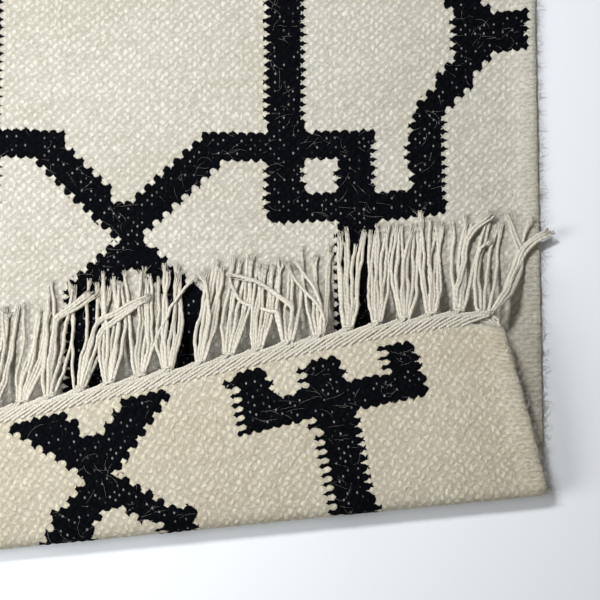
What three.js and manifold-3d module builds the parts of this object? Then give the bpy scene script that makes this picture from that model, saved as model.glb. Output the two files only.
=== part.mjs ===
// A small hand-woven kilim with a knotted fringe. One end is folded up over the rug, a little askew,
// so that its reverse and its fringe lie on the body. Millimetres, +Z up, the rug lies on z = 0.
// u runs across the cloth from its middle, v along it from the folded end's edge to the flat end's.
import * as THREE from "three";
import { mergeVertices } from "three/addons/utils/BufferGeometryUtils.js";
import Module from "manifold-3d";

// The cloth as it was woven.
const CLOTH_WIDTH = 500;
const CLOTH_LENGTH = 784;
const CLOTH_THICKNESS = 5;
const SELVEDGE_THICKNESS = 3.4;

// The wefts rise toward the selvedges, and each corner is drawn in.
const ARCH_START = 125;
const ARCH_RISE = 8.5;
const CORNER_REACH = 40;
const CORNER_DROP = 6;

// The fold: its line against the wefts. Its bend stops short of a half turn, so the stiff flap rises
// from it and levels out toward its free edge, which stays up off the body.
const FOLD_ANGLE = THREE.MathUtils.degToRad(5.6);
const FOLD_RADIUS = 7.5;
const FLAP_LENGTH = 77;
const FLAP_LENGTH_SLOPE = 0.104;
const FLAP_LEAN = THREE.MathUtils.degToRad(10.7);
const FLAP_RISE = { atBend: THREE.MathUtils.degToRad(14), atEdge: THREE.MathUtils.degToRad(2) };

// The flap's last weft runs a little askew, and its corners are pulled toward the middle.
const EDGE_SKEW = 0.023;
const PINCH = { from: 150, to: 270, depth: 9 };

// How finely the cloth's solid is stepped.
const STEPS_ACROSS = 28;
const STEPS = { flap: 8, bend: 10, body: 8 };

// The heading strip that holds the knots, parted from the cloth's edge.
const STRIP = { width: 6, thickness: 4, parting: 0.35 };

// The fringe: knotted tassels of loose warp ends.
const TASSELS = 28;
const TASSEL_WANDER = 0.8;
const KNOT = { halfWidth: 4.6, halfLength: 4.2, halfHeight: 2, backShare: 0.7, sides: 6, beyondStrip: 2.1 };
const STRAND = { length: 58, width: 2.3, height: 2.1, unevenness: 0.16 };
const STRANDS_PER_TASSEL = 5;
const STRAND_ROOT = 2;
const LIE_CLEARANCE = 0.3;
const DESCENT = { folded: 40, flat: 18 };

// How one strand runs: how far along its length, how far it stands from the tassel's middle line
// for each step that it is away from the middle strand, and its share of the full width.
const STRAND_COURSE = [
  { along: 0, spread: 1.4, width: 0.5 },
  { along: 0.31, spread: 3.0, width: 1 },
  { along: 0.65, spread: 3.1, width: 1 },
  { along: 1, spread: 2.7, width: 1 },
];

// How far the folded end's tassels lean to the right as they lie, in degrees, by where their root is.
const TASSEL_LEANS = [
  { at: -250, lean: 4 },
  { at: -150, lean: 0 },
  { at: -40, lean: 0 },
  { at: 60, lean: 2 },
  { at: 150, lean: 0 },
  { at: 224, lean: 5 },
  { at: 250, lean: 3 },
];
// The outer strands of its last tassel lie askew, out over the selvedge.
const LOCK_TURN = 33;
const FLAT_END_LEAN = 1.5;

const WOOL = new THREE.MeshStandardMaterial({ color: 0xd6d2c4, roughness: 0.95, metalness: 0 });
const COTTON = new THREE.MeshStandardMaterial({ color: 0xe2dac6, roughness: 0.85, metalness: 0 });

const wasm = await Module();
wasm.setup();

// An even-looking but repeatable spread of numbers from -1 to 1.
function uneven(index) {
  const folded = Math.sin(index * 12.9898) * 43758.5453;
  return 2 * (folded - Math.floor(folded)) - 1;
}

function smooth(low, high, x) {
  return THREE.MathUtils.smoothstep(x, low, high);
}

// How far the last weft is drawn in at u.
function drawnIn(u) {
  const arch = Math.max(0, (Math.abs(u) - ARCH_START) / (CLOTH_WIDTH / 2 - ARCH_START));
  const corner = Math.max(0, (Math.abs(u) - CLOTH_WIDTH / 2 + CORNER_REACH) / CORNER_REACH);
  return ARCH_RISE * arch ** 2 + CORNER_DROP * corner ** 2;
}

// The two ends of the cloth at u, along v.
function foldedEdge(u) {
  return drawnIn(u) - EDGE_SKEW * u;
}

function flatEdge(u) {
  return CLOTH_LENGTH - drawnIn(u);
}

// Where along v the flap ends and the bend starts.
function bendStart(u) {
  return FLAP_LENGTH + FLAP_LENGTH_SLOPE * u;
}

// The bend: how far it turns, and its length along a warp that crosses it askew.
const BEND_TURN = Math.PI - FLAP_RISE.atBend;
const BEND_LENGTH = (BEND_TURN * FOLD_RADIUS) / Math.cos(FOLD_ANGLE);

// How far the flap has risen above the bend's end, share of the way from there to its free edge. Its
// slope falls off with the square of the way that is left.
function flapRise(length, share) {
  const levelling = ((FLAP_RISE.atBend - FLAP_RISE.atEdge) * (1 - (1 - share) ** 3)) / 3;
  return length * (FLAP_RISE.atEdge * share + levelling);
}

// How much of its length the rising flap covers as seen from above.
const FLAP_REACH = Math.cos((FLAP_RISE.atBend + FLAP_RISE.atEdge) / 2);

// The middle surface of the cloth as it lies.
function middle(u, v) {
  const bodyStart = bendStart(u) + BEND_LENGTH;
  const axisY = Math.tan(FOLD_ANGLE) * u;
  if (v >= bodyStart) {
    return new THREE.Vector3(u, axisY + v - bodyStart, CLOTH_THICKNESS / 2);
  }
  const inBend = Math.min(BEND_LENGTH, bodyStart - v);
  const turn = (BEND_TURN * inBend) / BEND_LENGTH;
  const out = FOLD_RADIUS * Math.sin(turn);
  const drift = inBend * Math.sin(FOLD_ANGLE);
  const place = new THREE.Vector3(
    u + out * Math.sin(FOLD_ANGLE) - drift * Math.cos(FOLD_ANGLE),
    axisY - out * Math.cos(FOLD_ANGLE) - drift * Math.sin(FOLD_ANGLE),
    CLOTH_THICKNESS / 2 + FOLD_RADIUS * (1 - Math.cos(turn)),
  );
  const run = bendStart(u) - v;
  if (run > 0) {
    const length = bendStart(u) - foldedEdge(u);
    const share = Math.min(1, run / length);
    const pinch = Math.sign(u) * PINCH.depth * smooth(PINCH.from, PINCH.to, Math.abs(u)) * share;
    place.x -= run * FLAP_REACH * Math.sin(FLAP_LEAN) + pinch;
    place.y += run * FLAP_REACH * Math.cos(FLAP_LEAN);
    place.z += flapRise(length, share);
  }
  return place;
}

// A point w away from the middle surface, on the face's side when w is positive.
function onCloth(u, v, w) {
  const step = 0.25; // half the span that the surface's directions are taken over
  const across = middle(u + step, v).sub(middle(u - step, v));
  const along = middle(u, v + step).sub(middle(u, v - step));
  return middle(u, v).addScaledVector(across.cross(along).normalize(), w);
}

// Lays a box's points out through place(across, along, through), each given as 0 to 1.
function bentBox(acrossSteps, alongSteps, place) {
  const box = new THREE.BoxGeometry(1, 1, 1, acrossSteps, alongSteps, 1);
  const points = box.attributes.position;
  for (let i = 0; i < points.count; i += 1) {
    const laid = place(points.getX(i) + 0.5, points.getY(i) + 0.5, points.getZ(i) + 0.5);
    points.setXYZ(i, laid.x, laid.y, laid.z);
  }
  return box;
}

// Positions across the cloth, closer together near the selvedges.
function acrossAt(share) {
  return (CLOTH_WIDTH / 2) * Math.sin(Math.PI * (share - 0.5));
}

// The cloth's rows: evenly spaced in the flap, in the bend and in the body.
function alongAt(share, u) {
  const row = share * (STEPS.flap + STEPS.bend + STEPS.body);
  const start = bendStart(u);
  if (row <= STEPS.flap) {
    return foldedEdge(u) + ((start - foldedEdge(u)) * row) / STEPS.flap;
  }
  if (row <= STEPS.flap + STEPS.bend) {
    return start + (BEND_LENGTH * (row - STEPS.flap)) / STEPS.bend;
  }
  const bodyStart = start + BEND_LENGTH;
  const bodyShare = (row - STEPS.flap - STEPS.bend) / STEPS.body;
  return bodyStart + (flatEdge(u) - bodyStart) * bodyShare;
}

function clothSheet() {
  const rows = STEPS.flap + STEPS.bend + STEPS.body;
  return bentBox(STEPS_ACROSS, rows, (across, along, through) => {
    const u = acrossAt(across);
    const inside = Math.abs(u) < CLOTH_WIDTH / 2 - 1e-6;
    const thickness = inside ? CLOTH_THICKNESS : SELVEDGE_THICKNESS;
    return onCloth(u, alongAt(along, u), thickness * (through - 0.5));
  });
}

// A closed geometry as a solid that can be joined.
function solid(geometry) {
  const bare = geometry.clone();
  bare.deleteAttribute("normal");
  bare.deleteAttribute("uv");
  const merged = mergeVertices(bare, 1e-4);
  return new wasm.Manifold(
    new wasm.Mesh({
      numProp: 3,
      vertProperties: new Float32Array(merged.attributes.position.array),
      triVerts: new Uint32Array(merged.index.array),
    }),
  );
}

// Joins a list of solids pair by pair.
function joined(solids) {
  let left = solids;
  while (left.length > 1) {
    const pairs = [];
    for (let i = 0; i < left.length; i += 2) {
      pairs.push(i + 1 < left.length ? left[i].add(left[i + 1]) : left[i]);
    }
    left = pairs;
  }
  return left[0];
}

function geometryOf(made) {
  const mesh = made.getMesh();
  const geometry = new THREE.BufferGeometry();
  geometry.setAttribute("position", new THREE.BufferAttribute(mesh.vertProperties, 3));
  geometry.setIndex(new THREE.BufferAttribute(mesh.triVerts, 1));
  geometry.computeVertexNormals();
  return geometry;
}

// A strand of three sides with its flat side down, along points that lie at its underside.
// widths holds its width at each point.
function strandGeometry(points, widths) {
  const positions = [];
  const faces = [];
  points.forEach((point, i) => {
    const before = points[Math.max(0, i - 1)];
    const after = points[Math.min(points.length - 1, i + 1)];
    const heading = new THREE.Vector2(after.x - before.x, after.y - before.y).normalize();
    const half = widths[i] / 2;
    positions.push(point.x - heading.y * half, point.y + heading.x * half, point.z);
    positions.push(point.x + heading.y * half, point.y - heading.x * half, point.z);
    positions.push(point.x, point.y, point.z + (STRAND.height * widths[i]) / STRAND.width);
  });
  for (let i = 0; i + 1 < points.length; i += 1) {
    for (let side = 0; side < 3; side += 1) {
      const a = 3 * i + side;
      const b = 3 * i + ((side + 1) % 3);
      faces.push(a, b + 3, b);
      faces.push(a, a + 3, b + 3);
    }
  }
  const last = 3 * (points.length - 1);
  faces.push(0, 1, 2);
  faces.push(last, last + 2, last + 1);
  const geometry = new THREE.BufferGeometry();
  geometry.setAttribute("position", new THREE.Float32BufferAttribute(positions, 3));
  geometry.setIndex(faces);
  return geometry;
}

// The lean of the tassel at u, between the rows of the table.
function leanAt(u) {
  const next = Math.max(1, TASSEL_LEANS.findIndex((row) => row.at >= u));
  const from = TASSEL_LEANS[next - 1];
  const to = TASSEL_LEANS[next];
  return THREE.MathUtils.mapLinear(u, from.at, to.at, from.lean, to.lean);
}

// One tassel: its knot and its strands, from root, which lies on the strip's outer edge.
// The strands come down over descent mm to lie at the height rest.
function tassel(root, rest, descent, lean, lock, seed) {
  const knot = new THREE.CylinderGeometry(1, KNOT.backShare, 2, KNOT.sides);
  knot.scale(KNOT.halfWidth, KNOT.halfLength, KNOT.halfHeight);
  knot.translate(root.x, root.y + KNOT.beyondStrip, root.z);
  const solids = [solid(knot)];
  const middleStrand = (STRANDS_PER_TASSEL - 1) / 2;
  for (let i = 0; i < STRANDS_PER_TASSEL; i += 1) {
    const side = i - middleStrand;
    const turn = lean + (side >= 1 ? lock : 0);
    const heading = THREE.MathUtils.degToRad(90 - turn);
    const length = STRAND.length * (1 + STRAND.unevenness * uneven(seed + i));
    const points = STRAND_COURSE.map(({ along, spread }) => {
      const reach = length * along;
      const sunk = smooth(0, descent, reach);
      const x = root.x + Math.cos(heading) * reach + side * spread;
      const y = root.y + STRAND_ROOT + Math.sin(heading) * reach;
      const z = THREE.MathUtils.lerp(root.z - STRAND.height / 2, rest, sunk);
      return new THREE.Vector3(x, y, z);
    });
    const widths = STRAND_COURSE.map(({ width }) => STRAND.width * width);
    solids.push(solid(strandGeometry(points, widths)));
  }
  return solids;
}

// The fringe of one end: the strip, the knots on it and their strands. edgeAt(u) is the v of the
// cloth's edge there, and outward the way that v runs off it.
function fringe(edgeAt, outward, rest, descent) {
  // The flat end's strip is thinner than the cloth, and rests on the floor too.
  const settled = new THREE.Vector3(0, 0, outward > 0 ? (STRIP.thickness - CLOTH_THICKNESS) / 2 : 0);
  const strip = bentBox(STEPS_ACROSS, 1, (across, along, through) => {
    const u = acrossAt(across);
    const fromCloth = outward > 0 ? along : 1 - along;
    const v = edgeAt(u) + outward * (STRIP.parting + STRIP.width * fromCloth);
    return onCloth(u, v, STRIP.thickness * (through - 0.5)).add(settled);
  });
  const solids = [solid(strip)];
  const spacing = CLOTH_WIDTH / TASSELS;
  const folded = outward < 0;
  for (let i = 0; i < TASSELS; i += 1) {
    const u = -CLOTH_WIDTH / 2 + spacing * (i + 0.5) + TASSEL_WANDER * uneven(7 * i);
    const v = edgeAt(u) + outward * (STRIP.parting + STRIP.width);
    const root = onCloth(u, v, 0).add(settled);
    const lean = folded ? leanAt(u) : FLAT_END_LEAN * uneven(5 * i);
    const lock = folded && i === TASSELS - 1 ? LOCK_TURN : 0;
    solids.push(...tassel(root, rest, descent, lean, lock, 31 * i + outward));
  }
  return geometryOf(joined(solids));
}

const cloth = new THREE.Mesh(clothSheet(), WOOL);
cloth.name = "kilim_cloth";

const onBody = CLOTH_THICKNESS + LIE_CLEARANCE;
const foldedFringe = new THREE.Mesh(fringe(foldedEdge, -1, onBody, DESCENT.folded), COTTON);
foldedFringe.name = "fringe_folded_end";

const flatFringe = new THREE.Mesh(fringe(flatEdge, 1, 0, DESCENT.flat), COTTON);
flatFringe.name = "fringe_flat_end";

// The origin is the middle of the rug's footprint, on the surface that it lies on.
const laid = new THREE.Group();
laid.add(cloth, foldedFringe, flatFringe);
const footprint = new THREE.Box3().setFromObject(laid, true);
const centre = footprint.getCenter(new THREE.Vector3());
laid.position.set(-centre.x, -centre.y, -footprint.min.z);

const rug = new THREE.Group();
rug.add(laid);

export default rug;
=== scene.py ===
from collections import namedtuple
from math import cos, floor, hypot, pi, radians, sin, tan, tau

import bpy
import numpy as np
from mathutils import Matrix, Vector


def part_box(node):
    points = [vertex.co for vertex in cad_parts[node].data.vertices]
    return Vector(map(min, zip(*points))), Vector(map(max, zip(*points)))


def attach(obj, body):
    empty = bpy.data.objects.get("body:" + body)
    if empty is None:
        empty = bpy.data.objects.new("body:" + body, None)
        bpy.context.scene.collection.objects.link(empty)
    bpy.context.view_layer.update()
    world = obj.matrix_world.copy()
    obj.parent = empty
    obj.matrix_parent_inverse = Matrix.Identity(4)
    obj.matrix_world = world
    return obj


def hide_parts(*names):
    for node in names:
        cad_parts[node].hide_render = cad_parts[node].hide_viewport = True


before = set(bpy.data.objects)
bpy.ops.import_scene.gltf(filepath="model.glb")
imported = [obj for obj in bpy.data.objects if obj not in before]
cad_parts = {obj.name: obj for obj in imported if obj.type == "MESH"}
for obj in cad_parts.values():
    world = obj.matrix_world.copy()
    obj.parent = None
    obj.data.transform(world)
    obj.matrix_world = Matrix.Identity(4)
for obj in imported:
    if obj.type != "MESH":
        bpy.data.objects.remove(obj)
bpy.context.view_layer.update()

MM = 0.001
RANDOM_SEED = 7

# The cloth as the frame has it.
WIDTH = 500.0
SIDE = WIDTH / 2
LENGTH = 784.0
THICKNESS = 5.0
ARCH_START = 125.0
ARCH_RISE = 8.5
CORNER_REACH = 40.0
CORNER_DROP = 6.0
FOLD_ANGLE = radians(5.6)
FOLD_RADIUS = 7.5
FLAP_LENGTH = 77.0
FLAP_LENGTH_SLOPE = 0.104
FLAP_LEAN = radians(10.7)
RISE_AT_BEND = radians(14)
RISE_AT_EDGE = radians(2)
FLAP_REACH = cos((RISE_AT_BEND + RISE_AT_EDGE) / 2)
BEND_TURN = pi - RISE_AT_BEND
BEND_LENGTH = BEND_TURN * FOLD_RADIUS / cos(FOLD_ANGLE)
EDGE_SKEW = 0.023
PINCH_FROM = 150.0
PINCH_TO = 270.0
PINCH_DEPTH = 9.0

# The weave: every weft float is one bump on a brick lattice of warps and picks.
WARPS = 172
PICKS = 284
WARP_SPACING = WIDTH / WARPS
PICK_SPACING = LENGTH / PICKS


def smooth(low, high, x):
    share = np.clip((x - low) / (high - low), 0, 1)
    return share * share * (3 - 2 * share)


def chance(place):
    """The random numbers of one sub-part."""
    return np.random.default_rng(RANDOM_SEED + place)


def uneven(index):
    """The repeatable spread of numbers from -1 to 1 that places the frame's tassels."""
    folded = sin(index * 12.9898) * 43758.5453
    return 2 * (folded - floor(folded)) - 1


def unit(vectors):
    return vectors / np.linalg.norm(vectors, axis=-1, keepdims=True)


def travelled(path):
    """How far along its path each point is. There may be several paths."""
    steps = np.linalg.norm(np.diff(path, axis=-2), axis=-1)
    return np.concatenate([np.zeros((*steps.shape[:-1], 1)), np.cumsum(steps, -1)], -1)


# Where the cloth lies


def arch(u):
    share = np.clip((np.abs(u) - ARCH_START) / (SIDE - ARCH_START), 0, None)
    return ARCH_RISE * share**2


def corner(u):
    share = np.clip((np.abs(u) - SIDE + CORNER_REACH) / CORNER_REACH, 0, None)
    return CORNER_DROP * share**2


def drawn_in(u):
    return arch(u) + corner(u)


def folded_edge(u):
    return drawn_in(u) - EDGE_SKEW * u


def flat_edge(u):
    return LENGTH - drawn_in(u)


def bend_start(u):
    return FLAP_LENGTH + FLAP_LENGTH_SLOPE * u


def flap_rise(length, share):
    """How far the flap has risen above the bend's end, share of the way to its free edge."""
    levelling = (RISE_AT_BEND - RISE_AT_EDGE) * (1 - (1 - share) ** 3) / 3
    return length * (RISE_AT_EDGE * share + levelling)


def middle(u, v):
    """The cloth's middle surface as it lies, before it is set on the frame."""
    u, v = np.broadcast_arrays(np.asarray(u, float), np.asarray(v, float))
    body_start = bend_start(u) + BEND_LENGTH
    in_bend = np.clip(body_start - v, 0, BEND_LENGTH)
    turn = BEND_TURN * in_bend / BEND_LENGTH
    out = FOLD_RADIUS * np.sin(turn)
    drift = in_bend * sin(FOLD_ANGLE)
    on_body = np.clip(v - body_start, 0, None)
    x = u + (out * sin(FOLD_ANGLE) - drift * cos(FOLD_ANGLE))
    y = tan(FOLD_ANGLE) * u + (on_body - out * cos(FOLD_ANGLE) - drift * sin(FOLD_ANGLE))
    z = THICKNESS / 2 + FOLD_RADIUS * (1 - np.cos(turn))
    run = np.clip(bend_start(u) - v, 0, None)
    length = bend_start(u) - folded_edge(u)
    share = np.clip(run / length, 0, 1)
    pinch = np.sign(u) * PINCH_DEPTH * smooth(PINCH_FROM, PINCH_TO, np.abs(u)) * share
    x = x - run * FLAP_REACH * sin(FLAP_LEAN) - pinch
    y = y + run * FLAP_REACH * cos(FLAP_LEAN)
    z = z + flap_rise(length, share)
    return np.stack([x, y, z], -1)


def on_cloth(u, v, w):
    """Points w away from the middle surface, on the face's side where w is positive."""
    step = 0.25
    across = middle(u + step, v) - middle(u - step, v)
    along = middle(u, v + step) - middle(u, v - step)
    return middle(u, v) + unit(np.cross(across, along)) * np.asarray(w, float)[..., None]


def shift_to_frame():
    """How far the cloth's own coordinates are from the frame's, from the far right corner."""
    u = np.linspace(-SIDE, SIDE, 201)
    far = middle(u, flat_edge(u)).max(0)
    _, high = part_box("kilim_cloth")
    return np.array([high.x / MM - SIDE, high.y / MM - far[1], 0.0])


SHIFT = shift_to_frame()

# The picks follow the drawn-in ends, wander a little on their way and hang slack at the sides. Two
# numbers are where a change begins and where it is complete.
ARCH_TURNS = (450, LENGTH)
CORNER_FADES = 45
WANDER_GROWS = 30
SLACK = 3.6
SLACK_ACROSS = (140, 205)
SLACK_GROWS = SKEW_FADES = (60, 250)
SLACK_FADES = (384, 560)
Wave = namedtuple("Wave", "height across along phase")
WAVES = [Wave(0.7, 37, 83, 0), Wave(0.5, 19, -47, 1)]


def pick_v(u, s):
    """Where the pick that was woven s from the start lies."""
    hold = 1 - 2 * smooth(*ARCH_TURNS, s)
    end = (1 - smooth(0, CORNER_FADES, s)) - smooth(LENGTH - CORNER_FADES, LENGTH, s)
    inside = smooth(0, WANDER_GROWS, s) * (1 - smooth(LENGTH - WANDER_GROWS, LENGTH, s))
    wander = sum(wave.height * np.sin(u / wave.across + s / wave.along + wave.phase) for wave in WAVES)
    slack = SLACK * smooth(*SLACK_ACROSS, np.abs(u)) * smooth(*SLACK_GROWS, s) * (1 - smooth(*SLACK_FADES, s))
    skew = EDGE_SKEW * u * (1 - smooth(*SKEW_FADES, s))
    return s + arch(u) * hold + corner(u) * end + wander * inside + slack - skew


# The pattern

# A black patch between two picks, from its start s0 to its end s1, with its left and right sides at
# each. Twins are repeated on the other side. The second half of the rug mirrors the first.
Patch = namedtuple("Patch", "s0 left0 right0 s1 left1 right1")
MIDDLE_PATCHES = [
    # The crossing on the folded end: its feet, waist and arms.
    (5, 14, 43, 24.5, -4.5, 22.5),
    (3.5, -54, -25, 24, -33, -6),
    (24.5, -33.5, 22.5, 42.5, -11.5, 1),
    (42.5, -11.5, -3.5, 45.5, -11.5, -3.5),
    (45, -13, 2, 62.5, -35.5, 19.5),
    (62.5, -35.5, -8.5, 79, -48, -20),
    (62.5, -3, 19.5, 80, 22, 44),
    # The uprights between the two crossings.
    (72, 22, 41, 240, 24, 44),
    (79, -46, -20, 95, -38.5, -18.5),
    (95, -38.5, -18.5, 240, -38.5, -18.5),
    # The crossing in the body.
    (236, -39, -14, 250, -27.5, -3),
    (236, 18, 43, 250, 3.5, 28),
    (250, -27.5, 24, 267.5, -6, 8.5),
    (267, -4, 6, 270, -4, 6),
    (269.5, -10, 6, 291, -32.5, 26.5),
    (291, 1, 26.5, 334.5, 43.5, 69),
    (291, -32.5, -9.5, 334.5, -78, -48),
]
TWIN_PATCHES = [
    # The bar from the crossing in the body.
    (318.2, 45, 149, 334.3, 45, 149),
    # The hooked boxes beside it.
    (280, 84, 105.5, 392, 84, 105.5),
    (40, 123, 144, 92, 126, 147),
    (92, 126, 147, 230, 129, 149),
    (230, 129, 149, 334.3, 129, 149),
    (280, 84, 150, 295.8, 84, 150),
    (280, 150, 192.3, 297.8, 150, 192.3),
    (280, 173, 192.3, 347, 173, 192.3),
    (346, 174, 196, 381, 205.5, 223.7),
    (380.5, 201, 243, 392, 201, 243),
    # The forks at the end.
    (24.3, 80.5, 190.5, 40.7, 81, 191),
    (5.5, 80, 100, 40, 81, 101),
    (6.5, 121.5, 142.5, 25, 122, 143.5),
    (8, 170, 190, 40.7, 171.5, 191),
]
PATCHES = [(Patch(*row), 1) for row in MIDDLE_PATCHES] + [(Patch(*row), 2) for row in TWIN_PATCHES]

# How far a side slips by chance, in warps, and how far a slanting side goes across for each mm along.
EDGE_SLIP = 0.05
SLANT = 0.3


def black_chart(rng, skin):
    """Whether the weft is black where each warp meets each pick, on the face or the reverse. A side
    steps once in two picks. Where it slants it steps over two warps, so that its knuckles are bumps."""
    pick = np.arange(PICKS + 1)
    mirrored = np.minimum(pick, PICKS - pick)
    s = mirrored * LENGTH / PICKS
    pair_s = (mirrored // 2 * 2 + 0.5) * LENGTH / PICKS
    warp = np.arange(WARPS + 1)[:, None]
    black = np.zeros((WARPS + 1, PICKS + 1), bool)
    for patch, twins in PATCHES:
        share = np.clip((pair_s - patch.s0) / (patch.s1 - patch.s0), 0, 1)
        rows = (s >= patch.s0) & (s <= patch.s1)
        for twin in range(twins):
            left = snapped(patch.left0, patch.left1, patch, share, 1, skin, rng)
            right = snapped(patch.right0, patch.right1, patch, share, 0, skin, rng)
            inside = rows & (warp >= left) & (warp <= right)
            black |= inside[::-1] if twin else inside
    return black.astype(float)


def snapped(first, last, patch, share, is_left, skin, rng):
    """The warp at which a patch's side stands on each pick. On the reverse the left sides have long
    fingers, since the weft floats further there."""
    slip = rng.normal(0, EDGE_SLIP, PICKS // 2 + 1)[np.arange(PICKS + 1) // 2]
    at = ((first + (last - first) * share) / WIDTH + 0.5) * WARPS + slip
    if abs(last - first) < SLANT * (patch.s1 - patch.s0):
        at = np.round(at)
        if is_left and skin:
            at += np.where((at + np.arange(PICKS + 1)) % 2 == 0, -1, 1)
        return at
    odd = (is_left + (last < first) + skin) % 2
    return 2 * np.round((at - odd) / 2) + odd


# Meshes from arrays


def placed(name, data):
    """A new object in the scene."""
    thing = bpy.data.objects.new(name, data)
    bpy.context.scene.collection.objects.link(thing)
    return thing


def mesh_object(name, material, points, faces, attributes):
    """A smooth mesh in metres, from points in cloth millimetres, with attributes for its points. What
    would be below the floor lies on it."""
    mesh = bpy.data.meshes.new(name)
    points = (np.asarray(points, float) + SHIFT) * MM
    points[:, 2] = np.maximum(points[:, 2], 0)
    faces = np.asarray(faces, np.int32)
    mesh.vertices.add(len(points))
    mesh.vertices.foreach_set("co", points.astype(np.float32).ravel())
    mesh.loops.add(faces.size)
    mesh.loops.foreach_set("vertex_index", faces.ravel())
    mesh.polygons.add(len(faces))
    mesh.polygons.foreach_set("loop_start", np.arange(0, faces.size, 3, dtype=np.int32))
    mesh.polygons.foreach_set("use_smooth", np.ones(len(faces), bool))
    mesh.update(calc_edges=True)
    for label, values in attributes.items():
        values = np.asarray(values, np.float32).ravel()
        kind, field = ("FLOAT", "value") if len(values) == len(points) else ("FLOAT_VECTOR", "vector")
        mesh.attributes.new(label, kind, "POINT").data.foreach_set(field, values)
    mesh.materials.append(material)
    return placed(name, mesh)


def merged(parts):
    """Joins parts, each (points, faces, {label: values}), into one such part."""
    points, faces, start = [], [], 0
    for part in parts:
        points.append(part[0])
        faces.append(part[1] + start)
        start += len(part[0])
    labels = parts[0][2]
    values = {label: np.concatenate([part[2][label] for part in parts]) for label in labels}
    return np.concatenate(points), np.concatenate(faces), values


def tube_faces(count, rings, sides):
    """The walls of count tubes, then the caps at their starts and ends."""
    ring = np.arange(rings - 1)[:, None] * sides
    here = ring + np.arange(sides)
    beside = ring + (np.arange(sides) + 1) % sides
    fan = np.arange(1, sides - 1)
    last = (rings - 1) * sides
    faces = [
        np.stack([here, beside, beside + sides], -1),
        np.stack([here, beside + sides, here + sides], -1),
        np.stack([0 * fan, fan + 1, fan], -1),
        np.stack([last + 0 * fan, last + fan, last + fan + 1], -1),
    ]
    one = np.concatenate([face.reshape(-1, 3) for face in faces])
    starts = np.arange(count) * rings * sides
    return (one[None] + starts[:, None, None]).reshape(-1, 3)


def tubes(paths, radii, sides, up=(0, 0, 1), twist=0.0, lobe=0.0, flatten=1.0, seed=0, per_seed=1):
    """Closed tubes along paths (tubes, rings, 3), with a radius for each ring. A two-ply yarn has lobes
    that turn once in each twist mm. Flatten squeezes the tube along up. A point's yarn is how far along
    it is and its cosine and sine round the tube, and its strand is its tube's seed."""
    paths = np.asarray(paths, float)
    count, rings = paths.shape[:2]
    heading = unit(np.gradient(paths, axis=1))
    side = unit(np.cross(heading, np.broadcast_to(np.asarray(up, float), paths.shape)))
    rise = np.cross(side, heading)
    along = travelled(paths)
    angle = tau * np.arange(sides) / sides
    radius = np.broadcast_to(np.asarray(radii, float), (count, rings))[:, :, None]
    if twist:
        turn = tau * along[:, :, None] / twist
        radius = radius * (1 + lobe * np.cos(2 * (angle - turn)))
    sideways = (radius * np.cos(angle))[..., None] * side[:, :, None, :]
    upwards = (radius * np.sin(angle) * flatten)[..., None] * rise[:, :, None, :]
    points = paths[:, :, None, :] + sideways + upwards
    yarn = np.stack(np.broadcast_arrays(along[:, :, None], np.cos(angle), np.sin(angle)), -1)
    strand = np.repeat(seed + np.arange(count) // per_seed, rings * sides)
    faces = tube_faces(count, rings, sides)
    return points.reshape(-1, 3), faces, {"yarn": yarn.reshape(-1, 3), "strand": strand}


def resampled(points, rings, curve_steps=12):
    """A smooth path through given points, with rings even steps (Catmull-Rom)."""
    points = np.asarray(points, float)
    ends = np.concatenate([[2 * points[0] - points[1]], points, [2 * points[-1] - points[-2]]])
    t = np.linspace(0, 1, curve_steps, endpoint=False)[:, None]
    pieces = []
    for p0, p1, p2, p3 in zip(ends, ends[1:], ends[2:], ends[3:]):
        straight = 2 * p1 + (p2 - p0) * t
        squared = (2 * p0 - 5 * p1 + 4 * p2 - p3) * t**2
        cubed = (3 * p1 - p0 - 3 * p2 + p3) * t**3
        pieces.append((straight + squared + cubed) / 2)
    line = np.concatenate([*pieces, points[-1:]])
    length = travelled(line)
    at = np.linspace(0, length[-1], rings)
    return np.stack([np.interp(at, length, values) for values in line.T], -1)


# The cloth

BUMP_RISE = 0.25
DIP_DEPTH = 0.55
BUMP_LUCK = 0.16
WARP_SHAKE = 0.3
PICK_SHAKE = 0.3
SHAKE_GROWS = 9
# Half the cloth's thickness at the outermost warps, and how much it thins towards its ends.
SIDE_HALVES = [1.5, 2.15, 2.42, THICKNESS / 2]
END_THINNING = 0.5
END_REACH = 4
SELVEDGE_BULGE = 0.9
SELVEDGE_LUCK = 0.25
SELVEDGE_REACH = 20.0
SELVEDGE_FULL = 5.0
HEADING_LENGTH = 2.2
HEADING_BLUR = 0.6

# The teeth of the dovetailed sides: how far they reach and how much of them black takes, for a right
# and a left side of a black patch, on the face and on the reverse.
TOOTH_REACH = ((0.09, 0.11), (0.17, -0.12))
TOOTH_SHARE = ((-0.13, 0.13), (0.13, 0.0))
# Slanting sides are blunt stairs.
STAIR_REACH = -0.22
# Along a pick the black bumps swell over the cream ones.
LOBE_REACH = 0.11
LOBE_SHARE = 0.08
ALONG_PICK = 0.85
# Chance moves only an ink that is neither cream nor black.
INK_LUCK = 0.05
INK_MARGIN = 0.05


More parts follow.
